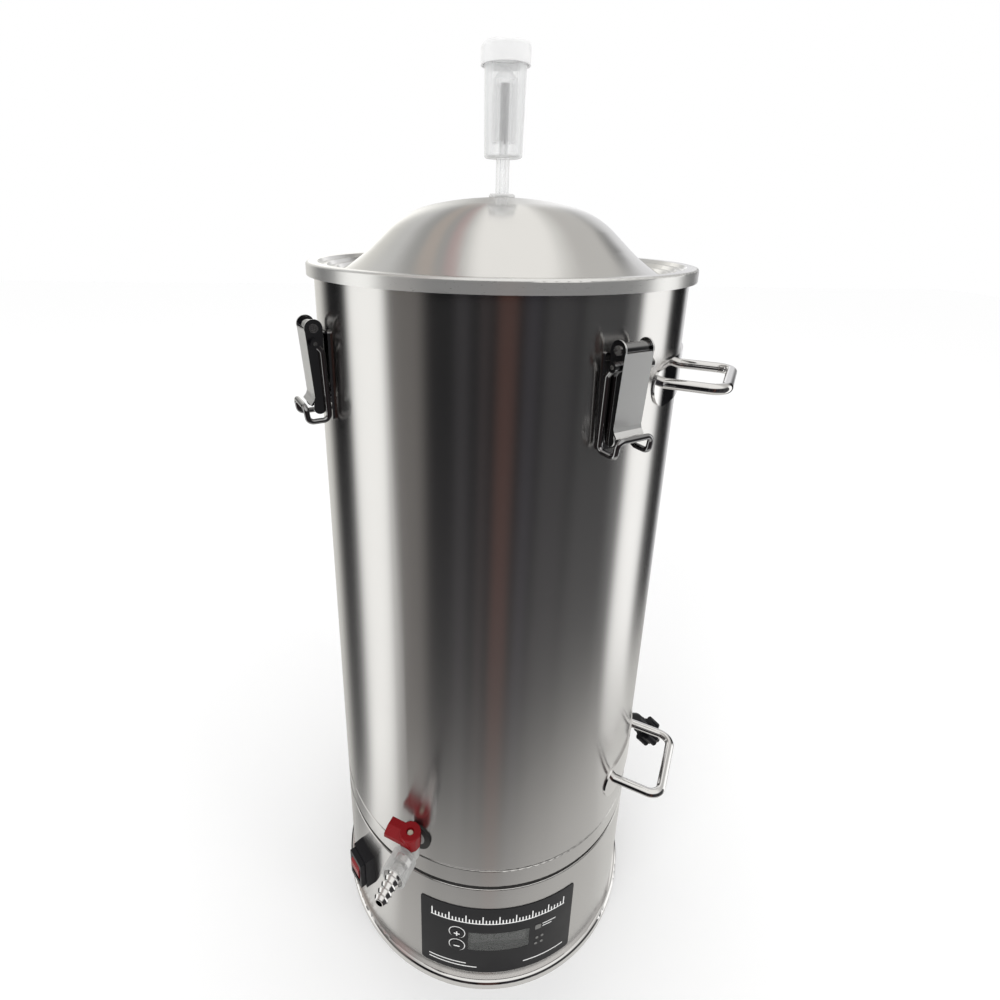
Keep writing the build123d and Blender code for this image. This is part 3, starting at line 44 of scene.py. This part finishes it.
# surface grain: scales of the noises per metre, and how far they change colour and roughness
NOISE_ROUGHNESS = 0.6
NOISE_SPAN = (0.3, 0.7)
BRUSH_SCALE, BRUSH_DETAIL = 8.0, 4.0
SMUDGE_SCALE, SMUDGE_DARKER = 14.0, 0.95
MOTTLE_SCALE, MOTTLE_LIGHTER, MOTTLE_LIFT, MOTTLE_ROUGHNESS = 22.0, 1.25, 0.004, 0.06
CLOUD_SCALE, CLOUD_LIGHTER, CLOUD_ROUGHNESS = 30.0, 1.06, 0.06
GRAIN_DEPTH = 0.0002
EDGE_BLEND = 0.45
QUARTER_TURN = 0.25


# ------------------------------------------------------------------ node helpers
def new_material(name):
    mat = bpy.data.materials.new(name)
    mat.use_nodes = True
    tree = mat.node_tree
    tree.nodes.clear()
    out = tree.nodes.new("ShaderNodeOutputMaterial")
    bsdf = tree.nodes.new("ShaderNodeBsdfPrincipled")
    tree.links.new(bsdf.outputs[0], out.inputs[0])
    return mat, tree, bsdf


def node(tree, kind, **props):
    n = tree.nodes.new(kind)
    for key, value in props.items():
        setattr(n, key, value)
    return n


def coords(tree, scale=(1, 1, 1)):
    """Object coordinates stretched by scale; a piece's own place at rest, so it moves with it."""
    tc = node(tree, "ShaderNodeTexCoord")
    mp = node(tree, "ShaderNodeMapping")
    mp.inputs["Scale"].default_value = scale
    tree.links.new(tc.outputs["Object"], mp.inputs[0])
    return mp.outputs[0]


def noise(tree, vector, scale, detail=3.0):
    n = node(tree, "ShaderNodeTexNoise")
    n.inputs["Scale"].default_value = scale
    n.inputs["Detail"].default_value = detail
    n.inputs["Roughness"].default_value = NOISE_ROUGHNESS
    tree.links.new(vector, n.inputs["Vector"])
    return n.outputs[0]


def ramp(tree, fac, low, high, span=NOISE_SPAN):
    """low to high as fac goes over the span."""
    r = node(tree, "ShaderNodeMapRange")
    r.inputs["From Min"].default_value = span[0]
    r.inputs["From Max"].default_value = span[1]
    r.inputs["To Min"].default_value = low
    r.inputs["To Max"].default_value = high
    tree.links.new(fac, r.inputs[0])
    return r.outputs[0]


def mix_color(tree, fac, a, b):
    m = node(tree, "ShaderNodeMix", data_type="RGBA")
    m.inputs[6].default_value = (*a, 1)
    m.inputs[7].default_value = (*b, 1)
    tree.links.new(fac, m.inputs[0])
    return m.outputs[2]


def bump(tree, bsdf, height, strength):
    b = node(tree, "ShaderNodeBump")
    b.inputs["Strength"].default_value = strength
    b.inputs["Distance"].default_value = GRAIN_DEPTH
    tree.links.new(height, b.inputs["Height"])
    tree.links.new(b.outputs[0], bsdf.inputs["Normal"])


def steel(name, base, rough, spread=0.05, brush=(60, 60, 60), aniso=0.0, metallic=1.0):
    """Stainless steel; brush gives the stretch of the brushing in object axes."""
    mat, tree, bsdf = new_material(name)
    brushing = noise(tree, coords(tree, brush), BRUSH_SCALE, BRUSH_DETAIL)
    smudge = noise(tree, coords(tree), SMUDGE_SCALE)
    dark = tuple(c * SMUDGE_DARKER for c in base)
    tree.links.new(mix_color(tree, smudge, dark, base), bsdf.inputs["Base Color"])
    tree.links.new(ramp(tree, brushing, rough - spread, rough + spread),
                   bsdf.inputs["Roughness"])
    bsdf.inputs["Metallic"].default_value = metallic
    bsdf.inputs["Anisotropic"].default_value = aniso
    if aniso:
        bsdf.inputs["Anisotropic Rotation"].default_value = QUARTER_TURN
        tangent = node(tree, "ShaderNodeTangent", direction_type="RADIAL", axis="Z")
        tree.links.new(tangent.outputs[0], bsdf.inputs["Tangent"])
    return mat


def plastic(name, base, rough, grain=220.0, strength=0.08, shine=0.5):
    """Opaque plastic or rubber with a fine grain."""
    mat, tree, bsdf = new_material(name)
    place = coords(tree)
    fine = noise(tree, place, grain, BRUSH_DETAIL)
    mottle = noise(tree, place, MOTTLE_SCALE)
    light = tuple(min(1.0, c * MOTTLE_LIGHTER + MOTTLE_LIFT) for c in base)
    tree.links.new(mix_color(tree, mottle, base, light), bsdf.inputs["Base Color"])
    tree.links.new(ramp(tree, mottle, rough - MOTTLE_ROUGHNESS, rough + MOTTLE_ROUGHNESS),
                   bsdf.inputs["Roughness"])
    bsdf.inputs["Specular IOR Level"].default_value = shine
    bump(tree, bsdf, fine, strength)
    return mat


def milky(name, base, rough, thin, thick, ior=1.45):
    """See-through plastic: thin and thick are how much it hides, face on and at its edges."""
    mat, tree, bsdf = new_material(name)
    cloud = noise(tree, coords(tree), CLOUD_SCALE)
    light = tuple(min(1.0, c * CLOUD_LIGHTER) for c in base)
    tree.links.new(mix_color(tree, cloud, base, light), bsdf.inputs["Base Color"])
    tree.links.new(ramp(tree, cloud, rough, rough + CLOUD_ROUGHNESS), bsdf.inputs["Roughness"])
    bsdf.inputs["IOR"].default_value = ior
    facing = node(tree, "ShaderNodeLayerWeight")
    facing.inputs["Blend"].default_value = EDGE_BLEND
    tree.links.new(ramp(tree, facing.outputs["Facing"], thin, thick, (0.0, 1.0)),
                   bsdf.inputs["Alpha"])
    return mat


FINISHES = {
    "brushed_steel": (steel, dict(base=(0.67, 0.66, 0.65), rough=0.21, spread=0.006,
                                  brush=(3, 3, 300), aniso=0.8)),
    "lid_steel": (steel, dict(base=(0.74, 0.73, 0.715), rough=0.185, spread=0.008,
                              brush=(30, 30, 30), aniso=0.85)),
    "polished_steel": (steel, dict(base=(0.76, 0.75, 0.745), rough=0.07, spread=0.02)),
    # a darker steel for the latch brackets, hooks and the levers' side faces: painted dark
    # reflection of the dark room these polished parts mirror
    "dark_chrome": (steel, dict(base=(0.36, 0.36, 0.365), rough=0.06, spread=0.02)),
    "satin_steel": (steel, dict(base=(0.82, 0.82, 0.81), rough=0.33, spread=0.03,
                                brush=(60, 60, 400), metallic=0.82)),
    "rim_steel": (steel, dict(base=(0.74, 0.735, 0.72), rough=0.30, spread=0.03,
                              brush=(20, 20, 300), aniso=0.5, metallic=0.80)),
    "plain_steel": (steel, dict(base=(0.58, 0.57, 0.56), rough=0.28)),
    "black_rubber": (plastic, dict(base=(0.016, 0.015, 0.015), rough=0.6)),
    "clear_silicone": (milky, dict(base=(0.86, 0.86, 0.85), rough=0.35, thin=0.45, thick=0.85,
                                   ior=1.41)),
    "clear_plastic": (milky, dict(base=(0.88, 0.885, 0.885), rough=0.16, thin=0.14,
                                  thick=0.8)),
    "cap_plastic": (milky, dict(base=(0.93, 0.93, 0.93), rough=0.3, thin=0.6, thick=0.95)),
    "tap_plastic": (milky, dict(base=(0.52, 0.52, 0.51), rough=0.08, thin=0.20, thick=0.95,
                                ior=1.5)),
    "natural_plastic": (plastic, dict(base=(0.42, 0.38, 0.30), rough=0.4)),
    "red_plastic": (plastic, dict(base=(0.18, 0.001, 0.004), rough=0.24, shine=0.3)),
    "black_plastic": (plastic, dict(base=(0.008, 0.008, 0.010), rough=0.36, shine=0.25)),
    "panel_black": (plastic, dict(base=(0.011, 0.011, 0.0125), rough=0.36, grain=600.0,
                                  strength=0.03, shine=0.16)),
    "window_clear": (milky, dict(base=(0.095, 0.098, 0.096), rough=0.08, thin=0.33, thick=0.7,
                                 ior=1.35)),
    "display_grey": (plastic, dict(base=(0.34, 0.345, 0.335), rough=0.35)),
    "print_white": (plastic, dict(base=(0.80, 0.80, 0.79), rough=0.45, grain=500.0,
                                  strength=0.03)),
    "lamp_grey": (plastic, dict(base=(0.12, 0.12, 0.115), rough=0.25)),
    "board_green": (plastic, dict(base=(0.015, 0.11, 0.04), rough=0.4)),
    "aluminium_plate": (steel, dict(base=(0.75, 0.75, 0.76), rough=0.3)),
}
MATS = {name: kind(name, **values) for name, (kind, values) in FINISHES.items()}
# nodes whose finish isn't the one of their material slot
OWN_FINISH = {"lid": "lid_steel", "airlock_cap": "cap_plastic", "tap_body": "tap_plastic",
              "handle_plates": "polished_steel"}
for part in frame["record"]["subparts"]:
    obj = NODES[part["node"]]
    obj.data.materials.clear()
    obj.data.materials.append(MATS[OWN_FINISH.get(part["node"], part["material_slot"])])


def second_finish(name, finish, wanted):
    """Gives the faces of a CAD node for which wanted(face) is true another finish."""
    mesh = NODES[name].data
    mesh.materials.append(MATS[finish])
    for face in mesh.polygons:
        if wanted(face):
            face.material_index = len(mesh.materials) - 1


# the lid's rolled rim lies beyond this radius and above this height
RIM_RADIUS, RIM_LOW = 0.1527, 0.64
LATCH_AZ = {"a": 25.0, "b": 115.0, "c": 205.0, "d": 295.0}
SIDEWAYS_FACE = 0.6
second_finish("lid", "rim_steel", lambda f: (
    math.hypot(f.center.x, f.center.y) > RIM_RADIUS and f.center.z > RIM_LOW))
# each lever's side faces and its hook get the darker steel as painted dark reflection; the
# lever's front keeps the satin steel
for letter, az in LATCH_AZ.items():
    sideways = Vector((math.cos(math.radians(az)), math.sin(math.radians(az)), 0))
    lever = f"latch_{letter}_lever"
    NODES[lever].data.materials[0] = MATS["satin_steel"]
    second_finish(lever, "dark_chrome", lambda f: abs(f.normal.dot(sideways)) > SIDEWAYS_FACE)
    NODES[f"latch_{letter}_hook"].data.materials[0] = MATS["dark_chrome"]
# the brackets get the darker steel too, as painted dark reflection
NODES["latch_brackets"].data.materials[0] = MATS["dark_chrome"]


# ------------------------------------------------------------------ pieces drawn here
R_WALL = 0.150


def on_wall(az, z, out):
    """Place on the base shell's wall: x sideways, y up, z outward."""
    a = math.radians(az)
    return Matrix(((math.cos(a), 0, math.sin(a), math.sin(a) * (R_WALL + out)),
                   (math.sin(a), 0, -math.cos(a), -math.cos(a) * (R_WALL + out)),
                   (0, 1, 0, z),
                   (0, 0, 0, 1)))


def slabs(name, outlines, thick, bevel, place, slot, body):
    """Raised flat shapes with bevelled edges, each a closed solid over its outline."""
    verts, faces = [], []
    for outline in outlines:
        n, base = len(outline), len(verts)
        cx = sum(p[0] for p in outline) / n
        cy = sum(p[1] for p in outline) / n
        layers = ((0.0, 0.0), (thick - bevel, 0.0), (thick, bevel))
        for z, inset in layers:
            for x, y in outline:
                d = math.hypot(x - cx, y - cy)
                k = (d - inset) / d
                verts.append(place @ Vector((cx + (x - cx) * k, cy + (y - cy) * k, z)))
        for layer in range(len(layers) - 1):
            for i in range(n):
                j = (i + 1) % n
                a, b = base + layer * n + i, base + layer * n + j
                faces.append((a, b, b + n, a + n))
        faces.append(tuple(base + i for i in reversed(range(n))))
        faces.append(tuple(base + (len(layers) - 1) * n + i for i in range(n)))
    mesh = bpy.data.meshes.new(name)
    mesh.from_pydata([tuple(v) for v in verts], [], faces)
    mesh.materials.append(MATS[slot])
    obj = bpy.data.objects.new(name, mesh)
    bpy.context.scene.collection.objects.link(obj)
    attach(obj, body)


def bar(x0, y0, x1, y1, half):
    """Outline of a bar from one point to another, pointed at its ends like a display segment."""
    length = math.hypot(x1 - x0, y1 - y0)
    dx, dy = (x1 - x0) / length * half, (y1 - y0) / length * half
    return [(x0, y0), (x0 + dx + dy, y0 + dy - dx), (x1 - dx + dy, y1 - dy - dx),
            (x1, y1), (x1 - dx - dy, y1 - dy + dx), (x0 + dx - dy, y0 + dy + dx)]


# signs on the two buttons
BUTTON_AZ, MINUS_Z, PLUS_Z = -14.8, 0.0533, 0.0705
SIGN_OUT, SIGN_THICK, SIGN_BEVEL = 0.00166, 0.00012, 0.00004
SIGN_HALF, SIGN_BAR = 0.0031, 0.00062
across = bar(-SIGN_HALF, 0, SIGN_HALF, 0, SIGN_BAR)
upright = [bar(0, s * SIGN_BAR, 0, s * SIGN_HALF, SIGN_BAR) for s in (-1, 1)]
for name, bars, z, body in (("sign_minus", [across], MINUS_Z, "minus_button"),
                            ("sign_plus", [across] + upright, PLUS_Z, "plus_button")):
    slabs(name, bars, SIGN_THICK, SIGN_BEVEL, on_wall(BUTTON_AZ, z, SIGN_OUT),
          "print_white", body)

# three digits of the display, dim as when it is off
DISPLAY_Z, DIGIT_PITCH, SEAT = 0.0609, 0.0135, 0.00003
DIGIT_W, DIGIT_H, SEGMENT, SPLIT = 0.0072, 0.0062, 0.0006, 0.0005
DIGIT_THICK, DIGIT_BEVEL = 0.0002, 0.00006
digits = []
for column in (-1, 0, 1):
    x0, x1 = column * DIGIT_PITCH - DIGIT_W / 2, column * DIGIT_PITCH + DIGIT_W / 2
    for y in (-DIGIT_H, 0.0, DIGIT_H):
        if y or column:
            digits.append(bar(x0 + SPLIT, y, x1 - SPLIT, y, SEGMENT))
    for y in (-DIGIT_H, 0.0):
        for x in (x0, x1):
            digits.append(bar(x, y + SPLIT, x, y + DIGIT_H - SPLIT, SEGMENT))
lcd_front = -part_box("lcd_module")[0][1]
slabs("display_digits", digits, DIGIT_THICK, DIGIT_BEVEL,
      on_wall(0.0, DISPLAY_Z, lcd_front - R_WALL - SEAT), "lamp_grey", "base")


# ------------------------------------------------------------------ studio
FLOOR_HALF, FLOOR_COLOUR, FLOOR_ROUGHNESS = 6.0, (0.985, 0.985, 0.985), 0.8
floor_mat, floor_tree, floor_bsdf = new_material("floor")
floor_bsdf.inputs["Base Color"].default_value = (*FLOOR_COLOUR, 1)
floor_bsdf.inputs["Roughness"].default_value = FLOOR_ROUGHNESS
floor_bsdf.inputs["Specular IOR Level"].default_value = 0.0
floor_mesh = bpy.data.meshes.new("floor")
floor_mesh.from_pydata([(x * FLOOR_HALF, y * FLOOR_HALF, 0)
                        for x, y in ((-1, -1), (1, -1), (1, 1), (-1, 1))], [], [(0, 1, 2, 3)])
floor_mesh.materials.append(floor_mat)
floor = bpy.data.objects.new("floor", floor_mesh)
floor.visible_glossy = False
bpy.context.scene.collection.objects.link(floor)

# Soft boxes that polished and brushed steel mirrors, in degrees. Each is (azimuth from the
# panel side, half width, soft edge, colour); below and above them lie the table and ceiling.
SOFT_BOXES = [
    (-91, 11, 9, (1.30, 1.30, 1.27)),
    (-62, 6, 11, (0.17, 0.16, 0.15)),
    (-27, 2, 4, (0.030, 0.028, 0.030)),
    (-14, 1, 3, (0.03, 0.022, 0.022)),
    (-1, 3, 5, (0.070, 0.031, 0.023)),
    (13, 2, 4, (0.03, 0.028, 0.034)),
    (30, 6, 7, (0.040, 0.039, 0.040)),
    (56, 9, 9, (0.055, 0.055, 0.055)),
    (75, 2, 4, (0.12, 0.12, 0.12)),
    (97, 10, 7, (1.35, 1.35, 1.33)),
    (154, 10, 12, (0.80, 0.80, 0.81)),
    (180, 10, 14, (0.50, 0.50, 0.49)),
    (-158, 11, 20, (0.75, 0.74, 0.70)),
]
ROOM = (0.007, 0.007, 0.008)
LOW_GLOW = (0.020, 0.019, 0.020)
TABLE = (0.70, 0.69, 0.665)
GLOW_EDGE, TABLE_EDGE, CEILING_EDGE = (-38.0, -12.0), (-62.0, -53.0), (36.0, 16.0)
# how much the table's edge rises to both sides, and from left to right
TABLE_RISE, TABLE_TILT = -0.10, -0.06
TO_DEGREES = math.degrees(1.0)
# fan-shaped stripes of the ceiling, by how far a face that mirrors them is turned from the
# camera's side, as (degrees, half width, soft edge, added colour)
CAMERA_SIDE = math.radians(6.8)
CEILING = (0.40, 0.40, 0.39)
CEILING_STRIPES = [
    (7, 15, 16, (0.66, 0.65, 0.63)),
    (-22, 1, 4, (0.10, -0.06, -0.16)),
    (-28, 1, 2.5, (-0.40, -0.40, -0.40)),
    (-34, 2, 4, (0.10, 0.05, 0.02)),
    (-43, 2, 6, (-0.16, -0.16, -0.16)),
    (-64, 10, 13, (0.26, 0.26, 0.26)),
    (44, 8, 10, (0.22, 0.21, 0.20)),
    (78, 8, 12, (0.16, 0.16, 0.16)),
]


def feed(tree, socket, value):
    """Sets a socket to a number or a colour, or links another socket to it."""
    if isinstance(value, tuple):
        socket.default_value = (*value, 1)
    elif isinstance(value, (int, float)):
        socket.default_value = value
    else:
        tree.links.new(value, socket)


def math_node(tree, op, a, b=None):
    m = node(tree, "ShaderNodeMath", operation=op)
    for socket, value in zip(m.inputs, (a, b)):
        if value is not None:
            feed(tree, socket, value)
    return m.outputs[0]


def smooth(tree, value, start, end):
    """1 at start falling smoothly to 0 at end; start may lie on either side of end."""
    r = node(tree, "ShaderNodeMapRange", interpolation_type="SMOOTHSTEP")
    r.inputs["From Min"].default_value = min(start, end)
    r.inputs["From Max"].default_value = max(start, end)
    r.inputs["To Min"].default_value = float(start < end)
    r.inputs["To Max"].default_value = float(start > end)
    tree.links.new(value, r.inputs[0])
    return r.outputs[0]


def blend_colors(tree, kind, fac, a, b):
    m = node(tree, "ShaderNodeMix", data_type="RGBA", blend_type=kind)
    for socket, value in ((m.inputs[0], fac), (m.inputs[6], a), (m.inputs[7], b)):
        feed(tree, socket, value)
    return m.outputs[2]


def mixed(tree, a, b, x, y):
    """a times socket x plus b times socket y."""
    return math_node(tree, "ADD", math_node(tree, "MULTIPLY", x, a),
                     math_node(tree, "MULTIPLY", y, b))


world = bpy.data.worlds.new("studio")
bpy.context.scene.world = world
world.use_nodes = True
wt = world.node_tree
wt.nodes.clear()
direction = node(wt, "ShaderNodeTexCoord").outputs["Generated"]
xyz = node(wt, "ShaderNodeSeparateXYZ")
wt.links.new(direction, xyz.inputs[0])
azimuth = math_node(wt, "MULTIPLY", math_node(
    wt, "ARCTAN2", xyz.outputs[0], math_node(wt, "MULTIPLY", xyz.outputs[1], -1.0)), TO_DEGREES)
height = math_node(wt, "MULTIPLY", math_node(wt, "ARCSINE", xyz.outputs[2]), TO_DEGREES)
around = ROOM
for centre, half, edge, colour in SOFT_BOXES:
    away = math_node(wt, "ABSOLUTE", math_node(wt, "SUBTRACT", azimuth, float(centre)))
    away = math_node(wt, "MINIMUM", away, math_node(wt, "SUBTRACT", 360.0, away))
    around = blend_colors(wt, "ADD", smooth(wt, away, half, half + edge), around, colour)
low = math_node(wt, "ADD", height, mixed(wt, TABLE_RISE, TABLE_TILT,
                                         math_node(wt, "ABSOLUTE", azimuth), azimuth))
around = blend_colors(wt, "ADD", smooth(wt, height, *GLOW_EDGE), around, LOW_GLOW)
around = blend_colors(wt, "MIX", smooth(wt, low, *TABLE_EDGE), around, TABLE)

ahead = mixed(wt, math.sin(CAMERA_SIDE), math.cos(CAMERA_SIDE), xyz.outputs[0], xyz.outputs[1])
across_view = mixed(wt, math.cos(CAMERA_SIDE), -math.sin(CAMERA_SIDE),
                    xyz.outputs[0], xyz.outputs[1])
turned = math_node(wt, "MULTIPLY", math_node(
    wt, "ARCTAN2", across_view, math_node(wt, "SUBTRACT", 1.0, ahead)), TO_DEGREES)
ceiling = CEILING
for centre, half, edge, colour in CEILING_STRIPES:
    away = math_node(wt, "ABSOLUTE", math_node(wt, "SUBTRACT", turned, float(centre)))
    ceiling = blend_colors(wt, "ADD", smooth(wt, away, half, half + edge), ceiling, colour)
around = blend_colors(wt, "MIX", smooth(wt, height, *CEILING_EDGE), around, ceiling)
rays = node(wt, "ShaderNodeLightPath")
mirrored = node(wt, "ShaderNodeBackground")
wt.links.new(around, mirrored.inputs[0])
even = node(wt, "ShaderNodeBackground")
even.inputs[0].default_value = (1, 1, 1, 1)
even.inputs[1].default_value = 1.0
mix = node(wt, "ShaderNodeMixShader")
wt.links.new(rays.outputs["Is Glossy Ray"], mix.inputs[0])
wt.links.new(even.outputs[0], mix.inputs[1])
wt.links.new(mirrored.outputs[0], mix.inputs[2])
wt.links.new(mix.outputs[0], node(wt, "ShaderNodeOutputWorld").inputs[0])


def look(place, target):
    z = (Vector(place) - Vector(target)).normalized()
    x = Vector((0, 0, 1)).cross(z).normalized()
    y = z.cross(x)
    m = Matrix((x, y, z)).transposed().to_4x4()
    m.translation = Vector(place)
    return m


def area(name, place, target, size, power):
    light = bpy.data.lights.new(name, "AREA")
    light.shape = "RECTANGLE"
    light.size, light.size_y = size
    light.energy = power
    obj = bpy.data.objects.new(name, light)
    obj.matrix_world = look(place, target)
    obj.visible_glossy = False
    bpy.context.scene.collection.objects.link(obj)


LIGHT_TARGET = (0, 0, 0.35)
KEY_POWER, FILL_POWER = 14, 7
area("key", (-1.6, -1.9, 2.2), LIGHT_TARGET, (1.2, 1.6), KEY_POWER)
area("fill", (1.9, -1.4, 1.5), LIGHT_TARGET, (0.8, 1.6), FILL_POWER)

# ------------------------------------------------------------------ camera
bpy.context.scene.view_settings.view_transform = "Standard"
CAM_PLACE = (-0.0580, -0.4892, 0.6882)
CAM_YAW, CAM_PITCH, CAM_ROLL = 4.555, -18.935, 0.993
LENS_MM, SENSOR_MM = 20.66, 36
SHIFT_X, SHIFT_Y, NEAR = 0.0256, -0.0834, 0.01
camera_data = bpy.data.cameras.new("camera")
camera = bpy.data.objects.new("camera", camera_data)
camera.matrix_world = (Matrix.Translation(CAM_PLACE)
                       @ Matrix.Rotation(math.radians(-CAM_YAW), 4, "Z")
                       @ Matrix.Rotation(math.radians(90 + CAM_PITCH), 4, "X")
                       @ Matrix.Rotation(math.radians(CAM_ROLL), 4, "Z"))
camera_data.lens = LENS_MM
camera_data.sensor_width = SENSOR_MM
camera_data.shift_x = SHIFT_X
camera_data.shift_y = SHIFT_Y
camera_data.clip_start = NEAR
bpy.context.scene.collection.objects.link(camera)
bpy.context.scene.camera = camera
